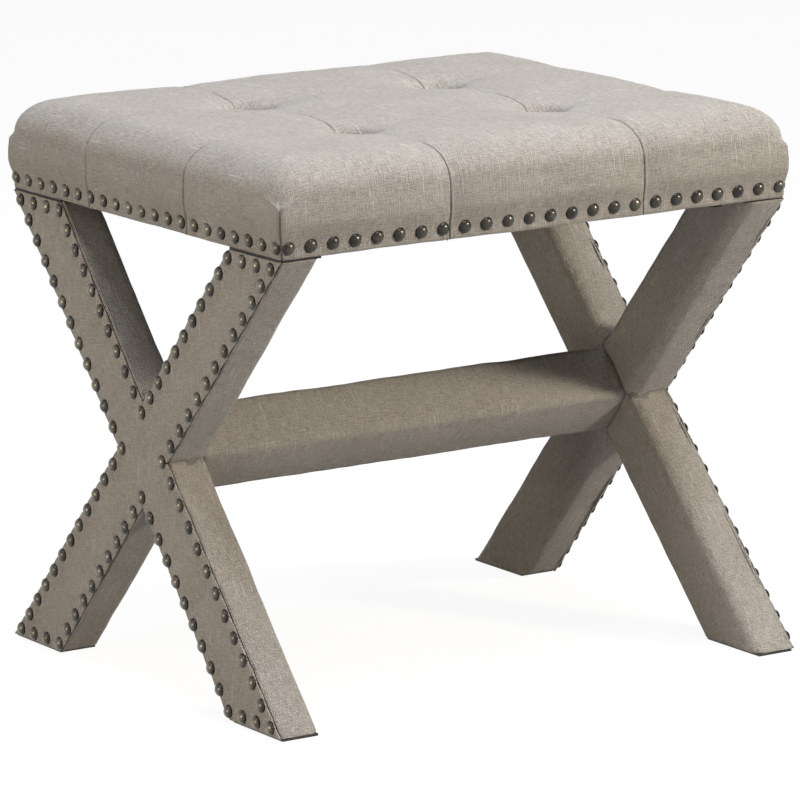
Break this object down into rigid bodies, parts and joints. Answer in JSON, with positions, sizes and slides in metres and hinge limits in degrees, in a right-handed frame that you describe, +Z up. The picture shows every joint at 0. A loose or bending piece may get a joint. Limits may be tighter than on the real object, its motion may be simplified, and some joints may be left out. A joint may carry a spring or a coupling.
{
  "type": "upholstered bench",
  "caption": "Small rectangular bench with a tufted, nail-edged linen seat on two fabric-covered X frames joined by a diamond-section stretcher.",
  "frame": {"origin": "on the floor under the middle of the bench", "axes": "+X along the seat and the stretcher, -Y the front, +Z up"},
  "size_m": [0.494, 0.421, 0.445],
  "materials": {
    "linen": "heathered greige linen, plain weave with slubs",
    "batting": "bonded polyester batting",
    "foam": "upholstery foam",
    "plywood": "sanded plywood",
    "pine": "planed pine, unfinished",
    "beech": "fluted beech",
    "twine": "waxed twine",
    "dust_cloth": "black non-woven dust cloth",
    "glide_plastic": "matt black",
    "black_steel": "black painted",
    "zinc_steel": "zinc plated",
    "antique_bronze": "antiqued bronze, polished dome"
  },
  "bodies": {
    "root": {"seat_cover": "linen", "seat_batting": "batting", "seat_foam": "foam", "seat_board": "plywood", "front_rail": "pine", "back_rail": "pine", "left_rail": "pine", "right_rail": "pine", "left_cleat": "pine", "right_cleat": "pine", "centre_cleat": "pine", "rail_screws": "zinc_steel", "board_screws": "zinc_steel", "dust_cover": "dust_cloth", "dust_cover_staples": "zinc_steel", "tuft_buttons": "linen", "tuft_twine": "twine", "tuft_washers": "zinc_steel", "front_seat_nails": "antique_bronze", "back_seat_nails": "antique_bronze", "left_seat_nails": "antique_bronze", "right_seat_nails": "antique_bronze", "left_leg_a": "pine", "left_leg_b": "pine", "left_base_padding": "batting", "left_base_cover": "linen", "left_outer_panel": "linen", "left_base_nails": "antique_bronze", "left_foot_glides": "glide_plastic", "left_brackets": "black_steel", "left_bracket_bolts": "zinc_steel", "left_bracket_screws": "black_steel", "left_lap_screws": "zinc_steel", "right_leg_a": "pine", "right_leg_b": "pine", "right_base_padding": "batting", "right_base_cover": "linen", "right_outer_panel": "linen", "right_base_nails": "antique_bronze", "right_foot_glides": "glide_plastic", "right_brackets": "black_steel", "right_bracket_bolts": "zinc_steel", "right_bracket_screws": "black_steel", "right_lap_screws": "zinc_steel", "stretcher_core": "pine", "stretcher_padding": "batting", "stretcher_cover": "linen", "stretcher_bolts": "zinc_steel", "stretcher_washers": "zinc_steel", "barrel_nuts": "zinc_steel", "stretcher_dowels": "beech"}
  },
  "joints": []
}
